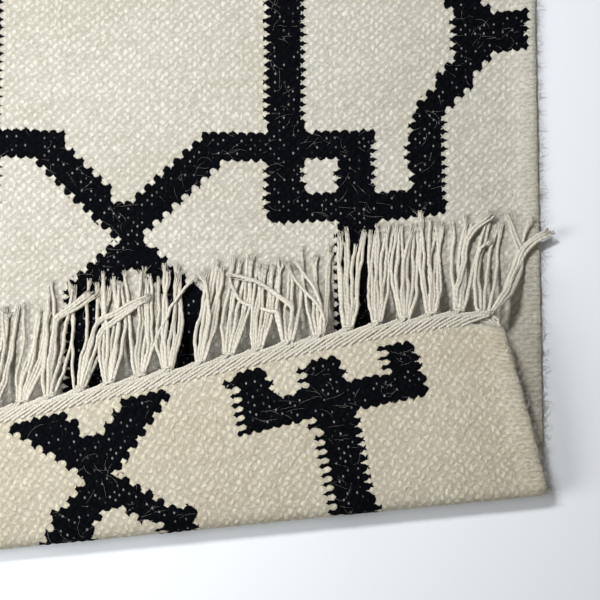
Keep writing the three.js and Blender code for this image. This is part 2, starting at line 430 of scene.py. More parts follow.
def ink_for(black, bump, skin, rng):
    """The ink of one skin's points and which way its sides swell. A bump keeps its own colour. A dip
    between two colours takes so much of each as gives the teeth and lobes of the woven sides."""
    padded = np.pad(black, 2, mode="edge")
    stair = np.zeros(black.shape, bool)
    for before_after in (padded[:, :-4], padded[:, 4:]):
        for side in (slice(1, -3), slice(3, -1)):
            stair |= before_after[side] != padded[side, 2:-2]
    left, right = padded[1:-3, 2:-2], padded[3:-1, 2:-2]
    before, after = padded[2:-2, 1:-3], padded[2:-2, 3:-1]
    beside = (left + right) / 2
    ahead = (before + after) / 2
    luck = rng.normal(0, INK_LUCK, black.shape)
    dip = ALONG_PICK * beside + (1 - ALONG_PICK) * ahead
    tooth = left != right
    is_left = (right > left).astype(int)
    reach = np.where(stair, STAIR_REACH, np.choose(is_left, TOOTH_REACH[skin]))
    share = np.where(stair, 0, np.choose(is_left, TOOTH_SHARE[skin]))
    dip = np.where(tooth, 0.5 + reach * (1 - 2 * ahead) + share, dip)
    lobes = 0.5 + LOBE_REACH * (2 * beside - 1) + LOBE_SHARE
    dip = np.where(~tooth & (before != after), lobes, dip)
    dip = dip + luck * ((dip > INK_MARGIN) & (dip < 1 - INK_MARGIN))
    rising = (right + padded[4:, 2:-2] - left - padded[:-4, 2:-2]) * (1 - 2 * skin)
    return np.where(bump, black, dip), np.where(rising < 0, -1.0, 1.0)


# Lines of points that run the cloth's length: where each point is, its warp, pick and skin, its ink and
# swell, whether it is a bump, and its u and s on the flat cloth.
Band = namedtuple("Band", "points weave ink swell bump u s")


def skin_band(column, row, skin, black, rng):
    """The points of the face or the reverse, from the left selvedge to the right one."""
    u = (column / WARPS - 0.5) * WIDTH
    s = row * LENGTH / PICKS
    from_side = np.minimum(np.minimum(column, WARPS - column), 3)
    from_end = np.minimum(s, LENGTH - s)
    inner = from_side / 3
    half = np.choose(from_side, SIDE_HALVES) - END_THINNING * (1 - smooth(0, END_REACH, from_end))
    shake_u, shake_s, shake_w = rng.uniform(-1, 1, (3, *u.shape))
    at_u = u + WARP_SHAKE * shake_u * inner
    at_s = s + PICK_SHAKE * shake_s * smooth(0, SHAKE_GROWS, from_end)
    bump = (column + row + skin) % 2 == 0
    top = (0.0 if skin else BUMP_RISE) + np.minimum(BUMP_LUCK * shake_w, 0)
    relief = np.where(bump, top, -DIP_DEPTH + BUMP_LUCK * shake_w) * inner
    points = on_cloth(at_u, pick_v(at_u, at_s), (half + relief) * (1 - 2 * skin))
    weave = np.stack([column + skin, row, 0 * row + skin], -1).astype(float)
    ink, swell = ink_for(black, bump, skin, rng)
    return Band(points, weave, ink, swell, bump, u, s)


def selvedge_band(side, face, black, rng):
    """The wrapped selvedge: one more line of points round the outside, a little in and out."""
    at = WARPS if side > 0 else 0
    rows = np.arange(PICKS + 1)
    u = np.full(len(rows), side * SIDE)
    bulge = SELVEDGE_BULGE + SELVEDGE_LUCK * rng.normal(0, 1, len(rows))
    points = on_cloth(u + side * bulge, pick_v(face.u[at], face.s[at]), 0 * u)
    weave = np.stack([rows * 0 + at + 0.5 * side, rows, 0.5 + 0 * rows], -1).astype(float)
    ink = black[at]
    band = Band(points, weave, ink, 0 * ink, rows % 2 == 0, u, face.s[at])
    return Band(*(values[None] for values in band))


def ring_faces(bump):
    """Joins the ring of lines round the cloth. A square is split between its two dips, so that each
    bump is a point of its own."""
    index = np.arange(bump.size).reshape(bump.shape)
    onward = np.roll(index, -1, 0)
    a, b, c, d = index[:, :-1], onward[:, :-1], onward[:, 1:], index[:, 1:]
    first = bump[:, :-1, None]
    one = np.where(first, np.stack([a, b, d], -1), np.stack([a, b, c], -1))
    two = np.where(first, np.stack([b, c, d], -1), np.stack([a, c, d], -1))
    return np.concatenate([one.reshape(-1, 3), two.reshape(-1, 3), *end_caps(index)])


def end_caps(index):
    """Closes the two ends of the ring of points round the cloth."""
    caps = []
    for row, flip in ((index[:, 0], True), (index[:, -1], False)):
        face, back = row[: WARPS + 1], row[WARPS + 2 : -1][::-1]
        p, q, m, n = face[:-1], face[1:], back[:-1], back[1:]
        strip = np.stack([p, q, n, p, n, m], -1).reshape(-1, 3)
        rims = row[[[WARPS, WARPS + 1, WARPS + 2], [-1, 0, -2]]]
        cap = np.concatenate([strip, rims])
        caps.append(cap[:, ::-1] if flip else cap)
    return caps


def cloth_mesh(material, charts):
    """The face, the right selvedge, the reverse from right to left and the left selvedge, in a ring."""
    column, row = np.meshgrid(np.arange(WARPS + 1), np.arange(PICKS + 1), indexing="ij")
    rng = chance(1)
    face, reverse = [skin_band(column, row, skin, charts[skin], rng) for skin in (0, 1)]
    right, left = [selvedge_band(side, face, charts[0], rng) for side in (1, -1)]
    reverse = Band(*(values[::-1] for values in reverse))
    ring = Band(*(np.concatenate(group) for group in zip(face, right, reverse, left)))
    from_end = np.minimum(ring.s, LENGTH - ring.s)
    heading = 1 - smooth(HEADING_LENGTH - HEADING_BLUR, HEADING_LENGTH + HEADING_BLUR, from_end)
    selvedge = smooth(SIDE - SELVEDGE_REACH, SIDE - SELVEDGE_FULL, np.abs(ring.u))
    attributes = dict(weave=ring.weave, ink=ring.ink, swell=ring.swell, heading=heading, selvedge=selvedge)
    points = ring.points.reshape(-1, 3)
    return mesh_object("woven_cloth", material, points, ring_faces(ring.bump), attributes)


# Materials


def operation(name):
    """A method that makes a maths node."""
    return lambda value, *others: value.nodes.maths(name, value, *others)


class Value:
    """A node's output. Sums on it make the nodes that work them out."""

    def __init__(self, nodes, socket):
        self.nodes = nodes
        self.socket = socket

    __add__ = operation("ADD")
    __sub__ = operation("SUBTRACT")
    __mul__ = operation("MULTIPLY")
    __truediv__ = operation("DIVIDE")
    __pow__ = operation("POWER")
    __abs__ = operation("ABSOLUTE")
    sine = operation("SINE")
    cosine = operation("COSINE")
    angle_over = operation("ARCTAN2")
    root = operation("SQRT")
    exponential = operation("EXPONENT")
    rounded = operation("ROUND")
    floored = operation("FLOOR")


class Nodes:
    """A node tree whose nodes are made by short calls. Each call returns what the node puts out."""

    def __init__(self, tree):
        self.tree = tree

    def put(self, value, place):
        if isinstance(value, Value):
            self.tree.links.new(value.socket, place)
        else:
            place.default_value = value

    def node(self, kind, inputs=(), output=0, **settings):
        made = self.tree.nodes.new(kind)
        for label, value in settings.items():
            setattr(made, label, value)
        for place, value in dict(inputs).items():
            self.put(value, made.inputs[place])
        return Value(self, made.outputs[output])

    def maths(self, operation, *values):
        return self.node("ShaderNodeMath", enumerate(values), operation=operation)

    def attribute(self, label, output="Fac"):
        return self.node("ShaderNodeAttribute", output=output, attribute_name=label)

    def split(self, vector):
        outputs = self.node("ShaderNodeSeparateXYZ", {0: vector}).socket.node.outputs
        return [Value(self, socket) for socket in outputs]

    def join(self, x, y, z):
        return self.node("ShaderNodeCombineXYZ", {0: x, 1: y, 2: z})

    def noise(self, vector, scale, detail=2.0, roughness=0.5, output="Fac"):
        inputs = {"Vector": vector, "Scale": scale, "Detail": detail, "Roughness": roughness}
        return self.node("ShaderNodeTexNoise", inputs, output)

    def dice(self, vector):
        """Three random numbers from 0 to 1 for each vector."""
        colour = self.node("ShaderNodeTexWhiteNoise", {"Vector": vector}, "Color", noise_dimensions="3D")
        return self.split(colour)

    def die(self, number):
        """One random number from 0 to 1 for each number."""
        return self.node("ShaderNodeTexWhiteNoise", {"W": number}, "Value", noise_dimensions="1D")

    def ranged(self, value, low, high, start=0.0, end=1.0, kind="SMOOTHSTEP"):
        """Goes from start to end as the value goes from low to high."""
        inputs = {"Value": value, "From Min": low, "From Max": high, "To Min": start, "To Max": end}
        return self.node("ShaderNodeMapRange", inputs, interpolation_type=kind)

    def blended(self, share, first, second):
        return self.node("ShaderNodeMix", {0: share, 2: first, 3: second})

    def mixed(self, share, first, second):
        """As blended, for colours."""
        first, second = [c if isinstance(c, Value) else (*c, 1) for c in (first, second)]
        return self.node("ShaderNodeMix", {0: share, 6: first, 7: second}, 2, data_type="RGBA")

    def scaled(self, colour, factor):
        return self.node("ShaderNodeVectorMath", {0: colour, "Scale": factor}, operation="SCALE")


class Shader(Nodes):
    """A material with a principled surface."""

    def __init__(self, name, **surface):
        self.material = bpy.data.materials.new(name)
        self.material.use_nodes = True
        super().__init__(self.material.node_tree)
        self.surface(**surface)

    def surface(self, **inputs):
        for label, value in inputs.items():
            self.put(value, self.tree.nodes["Principled BSDF"].inputs[label.replace("_", " ")])

    def finish(self, colour, height, distance):
        """Gives the surface its colour and its bumps, distance high."""
        bump = self.node("ShaderNodeBump", {"Strength": 1.0, "Distance": distance, "Height": height})
        self.surface(Base_Color=colour, Normal=bump)
        return self.material


def swing(value, reach):
    """Turns a random value from 0 to 1 into one that swings about 0, reach wide in all."""
    return (value - 0.5) * reach


CREAM_WOOL = (0.75, 0.73, 0.645)
WARM_WOOL = (0.68, 0.645, 0.54)
REVERSE_TINT = (1.0, 0.965, 0.885)
FLECK = (0.30, 0.25, 0.18)
BLACK_WOOL = (0.0022, 0.0026, 0.0036)
WARP_SPECK = (0.55, 0.56, 0.56)
COTTON = (0.61, 0.58, 0.50)
COTTON_SHADE = (0.47, 0.43, 0.345)
HEADING_SHADE = 0.35
HAIR_DARK = (0.36, 0.34, 0.30)
HAIR_PALE = (0.64, 0.62, 0.57)

# A float's grain: its lean and size in mm, how far noise pushes it about, and its height.
GRAIN_ANGLE = radians(50)
GRAIN_WIDTH = 1.15
GRAIN_LENGTH = 1.6
GRAIN_PUSH = 4.5
GRAIN_JITTER = 1.3
GRAIN_SWAY = 0.9
GRAIN_HEIGHT = 0.55
GRAIN_LUCK = 0.65
RIB_SWAY = 1.6
RIB_HEIGHT = 0.8
RIB_SHARE = 0.65

# Loose fibres: the twist's cosine and sine, and the noise's turns for each mm across and along them.
TWIST_COSINE = 0.64
TWIST_SINE = 0.77
FIBRE_SHIFT = 1.5
FIBRE_TURNS = (1.5, 0.5)
BRUSHED_TURNS = (0.35, 1.6)
FIBRE_NOISE = {"scale": 1.0, "detail": 4.0, "roughness": 0.7}

# Where a shaded point is in the weave. Along the lattice's diagonals a and b are whole numbers at the
# bumps. Off_a and off_b are how far the nearest bump is, and dice its own three random numbers.
Place = namedtuple("Place", "weave column row skin facing a b off_a off_b dice")


def weave_place(nodes):
    weave = nodes.attribute("weave", "Vector")
    column, row, skin = nodes.split(weave)
    facing = skin * -2.0 + 1.0
    a = (column + row) * 0.5
    b = (column - row) * 0.5
    bump_a, bump_b = a.rounded(), b.rounded()
    dice = nodes.dice(nodes.join(bump_a, bump_b, skin))
    return Place(weave, column, row, skin, facing, a, b, a - bump_a, b - bump_b, dice)


def float_grain(place, push):
    """Each float is a soft grain that leans along the yarn's twist."""
    luck, luck_x, luck_y = place.dice
    x = (place.off_a + place.off_b) * WARP_SPACING + swing(push[0], GRAIN_PUSH) + swing(luck_x, GRAIN_JITTER)
    y = (place.off_a - place.off_b) * PICK_SPACING + swing(push[1], GRAIN_PUSH) + swing(luck_y, GRAIN_JITTER)
    angle = (swing(luck, GRAIN_SWAY) + GRAIN_ANGLE) * place.facing
    sine, cosine = angle.sine(), angle.cosine()
    across = (y * cosine - x * sine) / GRAIN_WIDTH
    along = (x * cosine + y * sine) / GRAIN_LENGTH
    grain = ((abs(across) ** 2.0 + abs(along) ** 2.0) * -1.0).exponential()
    return grain * (luck * GRAIN_LUCK + GRAIN_HEIGHT)


def relief_of(nodes, place, grain, push, selvedge):
    """The grains, and at the selvedge the wrapped picks, which run straight across instead."""
    rib = abs(((place.row + swing(push[1], RIB_SWAY)) * pi).sine())
    return nodes.blended(selvedge * RIB_SHARE, grain, rib * RIB_HEIGHT)


def loose_fibres(nodes, place, selvedge):
    """Along the twist inside, and across at the selvedge."""
    x = place.column * WARP_SPACING + place.dice[2] * FIBRE_SHIFT
    y = place.row * PICK_SPACING * place.facing
    across = y * TWIST_COSINE - x * TWIST_SINE
    along = x * TWIST_COSINE + y * TWIST_SINE
    inside = nodes.join(across * FIBRE_TURNS[0], along * FIBRE_TURNS[1], place.skin)
    brushed = nodes.join(x * BRUSHED_TURNS[0], y * BRUSHED_TURNS[1], place.skin)
    fibres = [nodes.noise(vector, **FIBRE_NOISE) for vector in (inside, brushed)]
    return nodes.ranged(nodes.blended(selvedge, *fibres), low=0.30, high=0.70)


def cream_wool(nodes, place, relief, fuzz):
    """Soft blotches, a tone for each float and pick, painted shade in the dips between the grains with a
    painted highlight on their tops, and dark flecks.
    """
    blotch = nodes.noise(place.weave, scale=0.05, detail=3.0)
    pick = nodes.noise(nodes.join(place.column * 0.03, place.row, 3.0), scale=0.7, detail=1.0)
    tint = blotch * 0.55 + (place.dice[1] * 0.2 + pick * 0.25)
    cream = nodes.mixed(nodes.ranged(tint, low=0.35, high=0.7), CREAM_WOOL, WARM_WOOL)
    tinted = nodes.node("ShaderNodeVectorMath", {0: cream, 1: REVERSE_TINT}, operation="MULTIPLY")
    cream = nodes.mixed(place.skin, cream, tinted)
    # Painted shade and highlight: the wool is darkened in the dips between grains and lightened on their
    # tops.
    painted_dip_shade = nodes.ranged(relief, low=0.0, high=0.8, start=0.78, end=1.08)
    cream = nodes.scaled(cream, painted_dip_shade * (fuzz * 0.32 + 0.82))
    speckle = nodes.noise(place.weave, scale=2.3, detail=3.0, roughness=0.65)
    cream = nodes.mixed(nodes.ranged(speckle, low=0.54, high=0.72, end=0.42), cream, FLECK)
    lattice = nodes.join(place.column * 0.9, place.row * 1.3, place.skin + 4.0)
    fleck = nodes.noise(lattice, scale=1.0, detail=1.0)
    return nodes.mixed(nodes.ranged(fleck, low=0.77, high=0.85, end=0.4), cream, FLECK)


def black_wool(nodes, place, grain, fuzz, ink):
    """Faint grains as a painted highlight, lighter on their tops, with a tone from the loose fibres, and the
    cotton warps showing as specks in the dips between them.
    """
    # Painted highlight: the black is lighter where a grain rises. The loose fibres give it a tone of their
    # own.
    black = nodes.scaled(BLACK_WOOL, (grain + fuzz) * 1.2 + 0.4)
    dip_a, dip_b = place.a.floored(), place.b.floored()
    luck = nodes.dice(nodes.join(dip_a, dip_b, place.skin + 7.0))
    a = place.a - dip_a - 0.5
    b = place.b - dip_b - 0.5
    x = a + b + swing(luck[1], 0.25)
    y = (a - b + swing(luck[2], 0.25)) * 0.72
    bright = nodes.ranged(luck[0], low=0.45, high=1.0, end=0.58)
    speck = nodes.ranged((x * x + y * y).root(), low=0.08, high=0.26, start=1.0, end=0.0) * bright
    speck = speck * nodes.ranged(ink, low=0.90, high=0.98)
    return nodes.mixed(speck, black, WARP_SPECK)


def darkness(nodes, place, ink):
    """Where the wool is black. Its bumps swell into round lobes at the woven sides."""
    a, b = (place.off_a * pi).sine(), (place.off_b * pi).sine()
    lobe = abs(a * a - b * b) * nodes.attribute("swell") * 0.11
    jag = swing(nodes.noise(place.weave, scale=1.3, detail=4.0, roughness=0.7), 0.75)
    return nodes.ranged(ink + (lobe + jag), low=0.45, high=0.55)


def wool_material():
    nodes = Shader("wool_weave", Roughness=0.95, Specular_IOR_Level=0.03)
    place = weave_place(nodes)
    ink = nodes.attribute("ink")
    selvedge = nodes.attribute("selvedge")
    push = nodes.split(nodes.noise(place.weave, scale=0.9, detail=3.0, output="Color"))
    grain = float_grain(place, push)
    relief = relief_of(nodes, place, grain, push, selvedge)
    fuzz = loose_fibres(nodes, place, selvedge)
    cream = cream_wool(nodes, place, relief, fuzz)
    black = black_wool(nodes, place, grain, fuzz, ink)
    wool = nodes.mixed(darkness(nodes, place, ink), cream, black)
    cotton = nodes.scaled(nodes.mixed(HEADING_SHADE, COTTON, COTTON_SHADE), fuzz * 0.3 + 0.8)
    colour = nodes.mixed(nodes.attribute("heading"), wool, cotton)
    return nodes.finish(colour, height=relief * 0.85 + fuzz * 0.65, distance=0.55 * MM)


def cotton_material():
    """Two plies that twist round each other, with their fibres, a tone for each strand and painted shade in
    the grooves between the plies.
    """
    nodes = Shader("cotton_fringe", Roughness=0.9, Specular_IOR_Level=0.15)
    along, cosine, sine = nodes.split(nodes.attribute("yarn", "Vector"))
    strand = nodes.attribute("strand")
    die = nodes.die(strand)
    turn = along * (tau / STRAND_TWIST)
    phase = sine.angle_over(cosine) - turn + die * tau
    ply = abs(phase.cosine())
    place = nodes.join(phase * 1.3, along * 0.3, strand * 1.7)
    fibres = nodes.noise(place, scale=2.0, detail=4.0, roughness=0.65)
    tone = nodes.ranged(die * 0.6 + fibres * 0.5, low=0.3, high=1.1, end=0.5)
    # Painted shade: the colour darkens in the groove between the two plies.
    painted_groove_shade = nodes.ranged(ply, low=0.0, high=0.5, start=0.80)
    colour = nodes.scaled(nodes.mixed(tone, COTTON, COTTON_SHADE), painted_groove_shade)
    return nodes.finish(colour, height=ply**0.6 * 0.8 + fibres * 0.7, distance=0.3 * MM)


def hair_material():
    nodes = Shader("stray_wool", Roughness=0.7)
    die = nodes.die(nodes.attribute("strand"))
    return nodes.finish(nodes.mixed(die, HAIR_DARK, HAIR_PALE), height=die, distance=0.01 * MM)


# The fringe

TASSELS = 28
TASSEL_WANDER = 0.8
STRIP_PARTING = 0.35
STRIP_WIDTH = 6.0
STRIP_SETTLE = 0.5
LIE_CLEARANCE = 0.3
# How far along a strand comes down to the surface.
FLAP_DESCENT = 40.0
FLOOR_DESCENT = 18.0

# How the tassels of the folded end lie, from the first of these on: their lean to the right in degrees,
# their strands' length and how far they spread, as a share of the usual.
FIRST_LIE = 12
Lie = namedtuple("Lie", "lean length spread")
LIES = [
    (1.5, 66, 1),
    (5, 65, 1.05),
    (-2.5, 62, 0.95),
    (-3, 61, 1.1),
    (-1.5, 59.5, 1.05),
    (7.5, 61, 0.9),
    (8.5, 58, 1),
    (5, 52, 1.05),
    (1.5, 50.5, 1),
    (-1.5, 53, 1.1),
    (3, 57, 0.95),
    (4.5, 58, 0.95),
    (3.5, 58, 1),
    (5, 58, 1),
    (12, 60, 0.9),
    (16, 62, 1.35),
]
# The others lie about as usual.
USUAL = Lie(0, 58, 1)
LEAN_LUCK = 4
LEAN_ON_FLAP = 3

# Strands that stray over their neighbours: which tassel, how many lie side by side, and the points
# that they pass, in mm to the right of the knot and up from it.
Stray = namedtuple("Stray", "tassel strands course")
STRAYS = [
    (12, 3, [(0, 2), (-1.4, 25), (-1.3, 45), (4.9, 51.2), (12.3, 56.1), (19.7, 62.3)]),
    (13, 2, [(1, 2), (2.1, 14), (3.2, 28.4), (7, 41.3), (16.9, 46.3), (28, 53.1), (37.3, 57.4)]),
    (13, 2, [(2, 2), (5.2, 16), (9.1, 34.6), (14.4, 40.1), (26.2, 48.7), (37.3, 56.8)]),
    (15, 1, [(2, 2), (6.8, 18), (12.9, 38), (16.6, 44.9), (30.2, 61.5)]),
    (17, 1, [(1, 2), (3.5, 26.5), (1.7, 46.9), (-3.9, 54.9)]),
    (20, 1, [(-3.1, 1.9), (-5.7, 17.9), (-10, 19.7), (-21.2, 22.8), (-28, 25.9), (-32.3, 31.5), (-34.8, 37)]),
    (20, 2, [(0, 1.9), (2.4, 17.9), (1.8, 22.8), (-5.8, 29), (-12.5, 33.9), (-20.6, 38.9), (-32.9, 42)]),
    (21, 1, [(2.5, 3.7), (3.1, 11.7), (-0.5, 19.1), (-12.6, 32.7), (-18.1, 43.2)]),
    (21, 1, [(1, 2), (0.8, 21), (-2.8, 30.8), (-9.5, 39.5), (-15, 46.9)]),
    (26, 2, [(0, 2), (-0.6, 13), (5.9, 30.8), (11.4, 50), (23.8, 60.5)]),
    (27, 1, [(-2, 2), (-5.4, 6.2), (-1.2, 34.6), (1.4, 42), (8.8, 46.3)]),
    (27, 2, [(3, 2), (8.9, 6.2), (21.7, 20.4), (26.1, 34.6), (22.1, 50), (18.1, 62.9)]),
    (27, 3, [(4, 2), (13.2, 14), (22.5, 30), (29.8, 43.2), (42.2, 51.2)]),
]
STRAY_SPACING = 1.9
STRAY_LAYER = 2.0


def strip_point(u, distance, outward):
    """A point in the middle of the heading strip, distance outward from the cloth's edge."""
    edge = folded_edge(u) if outward < 0 else flat_edge(u)
    point = on_cloth(u, edge + outward * distance, 0 * np.asarray(u, float))
    if outward > 0:
        point[..., 2] -= STRIP_SETTLE
    return point


YARNS = 104
YARN_RINGS = 20
YARN_FOOT = -1.6
YARN_TOP = 8.2
YARN_RUN = 24.0
YARN_TURN = (0.6, 0.98)
YARN_GATHER = 0.3
YARN_OFFSET = 2.5
YARN_LIFT = 1.4
YARN_LIFT_AT_EDGE = 0.6
YARN_SWAY = 0.4
YARN_SWAY_LENGTH = 1.3
YARN_LUCK = 0.1
YARN_RADIUS = 1.0
STITCH = 3.6
STITCH_LUCK = 0.6
YARN_SWELL = 0.2
YARN_TWIST = 1.7


def heading_path(skin_side, outward, knot_u, rng):
    """The middle lines of one side's heading yarns, which slant over the edge and turn into a knot."""
    out_u = (np.arange(YARNS) + 0.5) / YARNS * WIDTH - SIDE
    knot = knot_u[np.minimum(np.searchsorted(knot_u, out_u - YARN_OFFSET), TASSELS - 1)]
    share = np.linspace(0, 1, YARN_RINGS)
    reach = YARN_FOOT + (YARN_TOP - YARN_FOOT) * share
    run = np.minimum(YARN_RUN, SIDE - 1 + skin_side * out_u)[:, None]
    u = out_u[:, None] - skin_side * run * (1 - share)
    gathered = knot + YARN_GATHER * (out_u - knot)
    u = u + (gathered[:, None] - u) * smooth(*YARN_TURN, share)
    phase = rng.uniform(0, tau, (YARNS, 1))
    u = u + YARN_SWAY * np.sin(reach / YARN_SWAY_LENGTH + phase)
    u = np.clip(u, -SIDE + 0.3, SIDE - 0.3)
    path = strip_point(u, np.broadcast_to(reach, u.shape), outward)
    lift = YARN_LIFT + YARN_LIFT_AT_EDGE * (1 - smooth(-1, 2, reach))
    path[..., 2] += skin_side * lift + rng.normal(0, YARN_LUCK, (YARNS, 1))
    return path


def heading_yarns(outward, knot_u, rng):
    """The heading: yarns laid slantwise over the cloth's edge in small stitches, on both its sides."""
    paths = np.concatenate([heading_path(side, outward, knot_u, rng) for side in (1, -1)])
    count = len(paths)
    along = np.linspace(0, 1, YARN_RINGS) * hypot(YARN_RUN, YARN_TOP - YARN_FOOT)
    phase = pi * (np.arange(count) % 2) + rng.normal(0, STITCH_LUCK, count)
    stitch = np.cos(tau * along / STITCH + phase[:, None])
    radii = YARN_RADIUS * (1 + YARN_SWELL * stitch)
    points, faces, attributes = tubes(paths, radii, sides=5, flatten=0.75, seed=900)
    attributes["yarn"][:, 0] *= YARN_TWIST
    return points, faces, attributes


STRANDS = 7
MOST_STRAYING = 3
STRAND_RADIUS = 1.15
STRAND_RINGS = 30
STRAND_TWIST = 6.5
STRAND_LUCK = 0.6
WAVER = 0.5
WAVER_LENGTH = 6.0
RIPPLE = 0.2
RIPPLE_LENGTH = 2.6
KINK = 0.13


def strand_path(root, course, rest, rng, layer):
    """A strand from its knot along its course, coming down to lie on the surface at rest."""
    descent = FLAP_DESCENT if rest > 0 else FLOOR_DESCENT
    flat = resampled(course, STRAND_RINGS)
    along = travelled(flat)
    phase = rng.uniform(0, tau, 2)
    waver = WAVER * np.sin(along / WAVER_LENGTH + phase[0])
    waver = waver + RIPPLE * np.sin(along / RIPPLE_LENGTH + phase[1])
    kink = KINK * rng.normal(0, 1, (2, STRAND_RINGS)) * smooth(2, 10, along)
    x = root[0] + flat[:, 0] + (waver * smooth(4, 16, along) + kink[0])
    lie = rest + STRAND_RADIUS + layer
    high = root[2] + rng.uniform(-STRAND_LUCK, STRAND_LUCK)
    z = high + (lie - high) * smooth(0, descent, along) + np.abs(kink[1])
    return np.stack([x, root[1] + flat[:, 1], z], -1)


# How wide a tassel's strands have spread, as a share of its half width, at shares of their length.
SPREADS = [(0, 0.36), (0.12, 0.62), (0.3, 0.98), (0.55, 1.08), (0.8, 1.10), (1, 1.12)]
TASSEL_HALF_WIDTH = 6.3
# How much chance changes a strand's length and width, and how far it wanders across the tassel.
LENGTH_LUCK = 0.05
WIDTH_LUCK = 0.1
CROSSING_LUCK = 0.45
BELLIES = (0.85, 1.15)
CROSSING_LAYER = 0.9


def tassel_strands(root, rest, lie, count, rng):
    """A tassel's strands, side by side. Those that cross others lie on them."""
    paths = []
    heading = radians(lie.lean)
    ahead, aside = cos(heading), sin(heading)
    order = rng.permutation(count)
    belly = rng.uniform(*BELLIES)
    for k in range(count):
        side = 2 * k / (count - 1) - 1
        length = lie.length * (1 + LENGTH_LUCK * rng.normal())
        wide = lie.spread * (1 + WIDTH_LUCK * rng.normal())
        crossing = CROSSING_LUCK * rng.normal()
        course = []
        for share, width in SPREADS:
            slide = side * (width * (1 + (belly - 1) * sin(pi * share))) + crossing * share**2
            across = TASSEL_HALF_WIDTH * wide * slide
            reach = length * share
            course.append((across * ahead + reach * aside, reach * ahead - 0.3 * across * aside))
        layer = CROSSING_LAYER * (order[k] % 2) * smooth(0.3, 0.6, abs(crossing)) + 0.5 * rng.random()
        paths.append(strand_path(root, course, rest, rng, layer))
    return paths


def stray_strands(root, rest, stray, rng):
    """The strands of a stray, side by side, a little further apart at their ends."""
    paths = []
    shares = np.linspace(0, 1, len(stray.course))
    for k in range(stray.strands):
        shift = (k - (stray.strands - 1) / 2) * STRAY_SPACING
        course = [
            (x + shift * (0.3 + 0.7 * share), y - 0.5 * shift * share)
            for (x, y), share in zip(stray.course, shares)
        ]
        layer = STRAY_LAYER + 0.5 * rng.random()
        paths.append(strand_path(root, course, rest, rng, layer))
    return paths


PLY_START = 0.8
PLIES = 3
PLY_SPACING = 0.42
PLY_RADII = [0.62, 0.6, 0.55, 0.48, 0.4, 0.25]
FIBRES = 5
FIBRE_RADII = [0.22, 0.2, 0.16, 0.08]


def loose_ends(paths, rng):
    """Where a strand comes untwisted: its plies part, and fibres stick out of them."""
    plies, fibres = [], []
    start = int(PLY_START * STRAND_RINGS) - 1
    t = np.linspace(0, 1, len(PLY_RADII))
    share = np.linspace(0, 1, len(FIBRE_RADII))[:, None]
    for path in paths:
        along = travelled(path[start:])
        reach = t * (along[-1] + rng.uniform(0.5, 3.5))
        core = np.stack([np.interp(reach, along, values) for values in path[start:].T], -1)
        heading = unit(path[-1] - path[-3])
        core += heading * np.maximum(reach - along[-1], 0)[:, None]
        side = np.array([heading[1], -heading[0], 0])
        for place in range(-1, PLIES - 1):
            spread = place * rng.uniform(0.2, 0.9) + rng.normal(0, 0.3)
            bow = rng.normal(0, 0.4)
            out = place * PLY_SPACING + spread * t**1.6 + bow * np.sin(pi * t)
            ply = core + side * out[:, None]
            ply[:, 2] += rng.uniform(-0.3, 0.5) * t
            plies.append(ply)
        for _ in range(FIBRES):
            span = rng.uniform(2, 5)
            sway = rng.normal(0, 0.32)
            begin = core[-2] - heading * rng.uniform(0, 3) + side * rng.normal(0, 0.9)
            fibre = begin + heading * span * share + side * sway * span * share**1.5
            fibre[:, 2] += rng.uniform(-0.3, 0.5)
            fibres.append(fibre)
    plies = tubes(plies, PLY_RADII, sides=4, per_seed=PLIES)
    return merged([plies, tubes(fibres, FIBRE_RADII, sides=3, per_seed=FIBRES)])


KNOT_RINGS = 30
KNOT_TURNS = 1.3
KNOT_FROM = 0.8
KNOT_RUN = 2.0
KNOT_SLANT = 0.5
KNOT_HALF_WIDTH = 2.5
KNOT_WIDTH_LUCK = 0.6
KNOT_HALF_HEIGHT = 1.25
KNOT_RADIUS = 0.85


def knots(roots, headings, rng):
    """Each knot is a yarn wrapped round the gathered strands."""
    t = np.linspace(0, 1, KNOT_RINGS)
    up = np.array([0, 0, 1])
    paths, ups = [], []
    for root, heading in zip(roots, headings):
        ahead = np.array([sin(heading), cos(heading), 0])
        side = np.array([cos(heading), -sin(heading), 0])
        turn = tau * KNOT_TURNS * t + rng.uniform(0, 6)
        reach = KNOT_FROM + KNOT_RUN * t + KNOT_SLANT * np.cos(turn)
        wide = KNOT_HALF_WIDTH + KNOT_WIDTH_LUCK * rng.random()
        path = root + ahead * reach[:, None] + side * (wide * np.cos(turn))[:, None]
        paths.append(path + up * (KNOT_HALF_HEIGHT * np.sin(turn))[:, None])
        ups.append(np.broadcast_to(ahead, path.shape))
    return tubes(paths, KNOT_RADIUS, sides=6, up=np.array(ups), seed=700)


